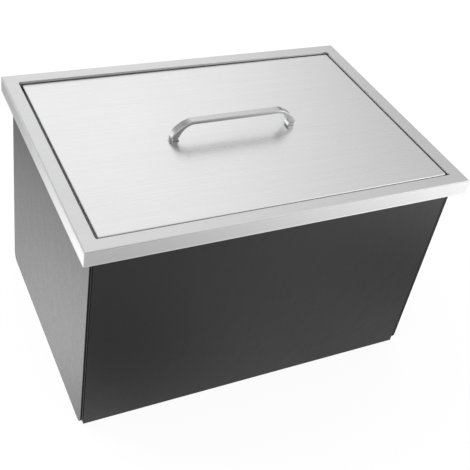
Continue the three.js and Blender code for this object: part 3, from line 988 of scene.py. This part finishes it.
def drain_plug():
    """Rubber stopper: a tapered plug, a lip over the flange and a round knob."""
    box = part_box("drain_plug")
    low, top = box[0].z, box[1].z
    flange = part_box("drain_body")[1].z
    shelf = flange - DRAIN["bowl_depth"]
    slope = (DRAIN["mouth"] - DRAIN["bowl"]) / DRAIN["bowl_depth"]
    foot = DRAIN["bowl"] + (low - shelf) * slope - PLUG["clear"]
    mouth = DRAIN["mouth"] - PLUG["clear"]
    lip, stem, knob = PLUG["lip"], PLUG["stem"], PLUG["knob"]
    under = flange + SEAT
    lip_top = under + PLUG["lip_height"]
    stem_top = lip_top + PLUG["stem_height"]
    edge, crease, knob_edge = PLUG["edge"], PLUG["crease"], PLUG["knob_edge"]
    profile = soften(
        [(0, low), (foot, low), (mouth, flange), (mouth, under), (lip, under), (lip, lip_top),
         (stem, lip_top), (stem, stem_top), (knob, stem_top), (knob, top), (0, top)],
        [0, edge, 0, 0, edge / 2, edge, crease, crease, knob_edge, knob_edge, 0], closed=False,
    )
    shape = loft([circle(radius, z) for radius, z in profile])
    add_piece("plug_moulding", shape, RUBBER, "stopper", "rubber", "drain_plug")


# The bin


def carry_over(node, material):
    """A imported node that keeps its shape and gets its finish."""
    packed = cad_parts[node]
    packed.data.materials.clear()
    packed.data.materials.append(material)


rim_frame()
liner_tub()
lid_skin()
lid_liner()
lid_handle()
for side, hand in HANDS:
    side_panel(f"side_panel_{hand}", side)
    handle_screw(hand)
    plain_ring(
        f"washer_{hand}", f"handle_washer_{hand}", RING["washer_hole"], RING["washer_edge"],
        ZINC, "lid", "zinc_steel", SMALL_STEPS)
    carry_over(f"insulation_{hand}", FOAM)
face_panel("front_panel", -1)
face_panel("rear_panel", 1)
base_panel()
drain_body()
drain_strainer()
drain_locknut()
drain_plug()
for level in ("upper", "lower"):
    plain_ring(f"gasket_{level}", f"drain_gasket_{level}", NECK_HOLE, RING["edge"], RUBBER, "bin", "rubber")
plain_ring("back_washer", "drain_washer", NECK_HOLE, RING["washer_edge"], PLASTIC, "bin", "white_plastic")
for board in ("base", "front", "rear"):
    carry_over(f"insulation_{board}", FOAM)
carry_over("lid_core", FOAM)


# Camera, floor and light

# The camera's place and turn, fitted to the corners of the rim, the lid and the body in the photo
CAMERA_PLACE = (-0.47365, -0.79557, 0.90389)
CAMERA_RIGHT = Vector((0.89543, -0.42002, 0.14761))
CAMERA_UP = Vector((0.16233, 0.61675, 0.77024))
CAMERA_LENS = 65.28
CAMERA_SENSOR = 36.0
CAMERA_SHIFT = (0.0082, -0.0481)
CAMERA_REACH = 100.0

# The floor's reach and paint, the share of its glow that the camera sees, and the strength of that glow
FLOOR_REACH = 12.0
FLOOR_PAINT = (0.86, 0.86, 0.86, 1)
FLOOR_SEEN = 0.86
FLOOR_GLOW = 1.06

# What gloss sees of the floor's glow: a base level, its painted brightening far off, and painted pools of
# light and shadow as centre, half sizes and strength
FLOOR_BASE = 0.6
FLOOR_FAR = (1.0, 2.6, 0.5)
FLOOR_PAINTED_POOLS = (
    ((-0.44, 0.0, 0), (0.6, 0.6, 1), 0.83),
    ((0.78, -0.78, 0), (0.85, 0.85, 1), 1.14),
    ((-0.55, -0.42, 0), (0.28, 0.28, 1), -0.6),
    ((-0.2, -0.25, 0), (0.28, 0.24, 1), -0.5),
    ((0.42, -0.33, 0), (0.3, 0.2, 1), -0.42),
    ((-0.33, -0.06, 0), (0.22, 0.32, 1), 0.27),
    ((-0.34, 0.62, 0), (0.22, 0.3, 1), -0.12),
)

# What gloss sees of the studio: a base level, and soft cards as direction, degrees to end and fade, strength
STUDIO_BASE = 0.53
STUDIO_CARDS = (
    ((0.24, 0.8, 0.53), 33, 4, 0.52),
    ((-0.68, 0.73, -0.05), 24, 8, 0.85),
    ((-0.15, 0.77, 0.62), 16, 3, -0.12),
    ((-0.75, 0.25, 0.6), 30, 10, 0.5),
    ((0.85, -0.45, 0.4), 32, 21, 0.75),
    ((1.0, 0.0, 0.0), 28, 8, 0.75),
    ((0.6, 0.0, 0.8), 34, 10, 0.5),
    ((-0.49, -0.67, 0.52), 30, 8, 0.4),
    ((0.2, -0.8, 0.5), 29, 0, -0.48),
    ((0.68, 0.7, 0.25), 22, 0, -0.2),
)

# What all else sees of the studio
STUDIO_FILL = 0.8


def add_camera():
    lens = bpy.data.cameras.new("camera")
    lens.lens = CAMERA_LENS
    lens.sensor_width = CAMERA_SENSOR
    lens.sensor_fit = "HORIZONTAL"
    lens.shift_x, lens.shift_y = CAMERA_SHIFT
    lens.clip_end = CAMERA_REACH
    camera = bpy.data.objects.new("camera", lens)
    bpy.context.scene.collection.objects.link(camera)
    right = CAMERA_RIGHT.normalized()
    back = right.cross(CAMERA_UP).normalized()
    up = back.cross(right)
    turn = Matrix((right, up, back)).transposed()
    camera.matrix_world = Matrix.Translation(CAMERA_PLACE) @ turn.to_4x4()
    bpy.context.scene.camera = camera


def add_floor():
    """Pale floor that the camera sees as nearly white, with the object's soft shadow, and whose glow seen in
    gloss holds painted pools of light and shadow.
    """
    material, graph = new_material("floor")
    rays = graph.add("LightPath")
    gloss = rays.outputs["Is Glossy Ray"]
    clear = graph.math("MAXIMUM", rays.outputs["Is Camera Ray"], rays.outputs["Is Transmission Ray"])
    place = graph.place()
    # Painted light and shadow: pools that brighten or darken the glow that gloss sees, brighter far from the
    # object
    level = FLOOR_BASE
    for centre, size, strength in FLOOR_PAINTED_POOLS:
        offset = graph.vector("DIVIDE", graph.vector("SUBTRACT", place, centre), size)
        away = graph.measure("LENGTH", offset)
        level = graph.added(level, graph.rise(away, 1.0, 0.0), strength)
    distance = graph.measure("LENGTH", place)
    near, far, rise = FLOOR_FAR
    level = graph.added(level, graph.rise(distance, near, far), rise)
    strength = graph.blend(gloss, FLOOR_GLOW, level)
    paint = graph.add("BsdfDiffuse", {"Color": FLOOR_PAINT})
    glow = graph.add("Emission", {"Color": WHITE, "Strength": strength})
    seen = graph.math("MAXIMUM", graph.math("MULTIPLY", clear, FLOOR_SEEN), gloss)
    surface = graph.add("MixShader", {0: seen, 1: paint.outputs[0], 2: glow.outputs[0]})
    output = graph.add("OutputMaterial")
    graph.tree.links.new(surface.outputs[0], output.inputs["Surface"])
    reach = FLOOR_REACH
    corners = [(-reach, -reach, 0), (reach, -reach, 0), (reach, reach, 0), (-reach, reach, 0)]
    floor = mesh_object("floor", (corners, [(0, 1, 2, 3)]), material)


def add_world():
    """White for the camera, an even fill for matt surfaces, and bright and dark cards for gloss."""
    world = bpy.data.worlds.new("studio")
    world.use_nodes = True
    bpy.context.scene.world = world
    graph = Graph(world.node_tree)
    direction = graph.add("TexCoord").outputs["Generated"]
    level = STUDIO_BASE
    for centre, end, fade, strength in STUDIO_CARDS:
        facing = graph.measure("DOT_PRODUCT", direction, Vector(centre).normalized())
        away = graph.math("ARCCOSINE", facing)
        card = graph.rise(away, math.radians(end), math.radians(fade))
        level = graph.added(level, card, strength)
    rays = graph.add("LightPath")
    others = graph.blend(rays.outputs["Is Glossy Ray"], STUDIO_FILL, level)
    strength = graph.blend(rays.outputs["Is Camera Ray"], others, 1.0)
    background = graph.add("Background", {"Color": WHITE, "Strength": strength})
    output = graph.add("OutputWorld")
    graph.tree.links.new(background.outputs[0], output.inputs["Surface"])


def add_softbox(name, place, target, size, power):
    light = bpy.data.lights.new(name, "AREA")
    light.shape = "SQUARE"
    light.size = size
    light.energy = power
    lamp = bpy.data.objects.new(name, light)
    bpy.context.scene.collection.objects.link(lamp)
    lamp.location = place
    lamp.visible_glossy = False
    lamp.rotation_euler = (Vector(target) - Vector(place)).to_track_quat("-Z", "Y").to_euler()


add_camera()
add_floor()
add_world()
add_softbox("key", place=(-1.2, 1.6, 2.6), target=(0, 0, 0.2), size=1.8, power=30)
bpy.context.scene.view_settings.view_transform = "Standard"
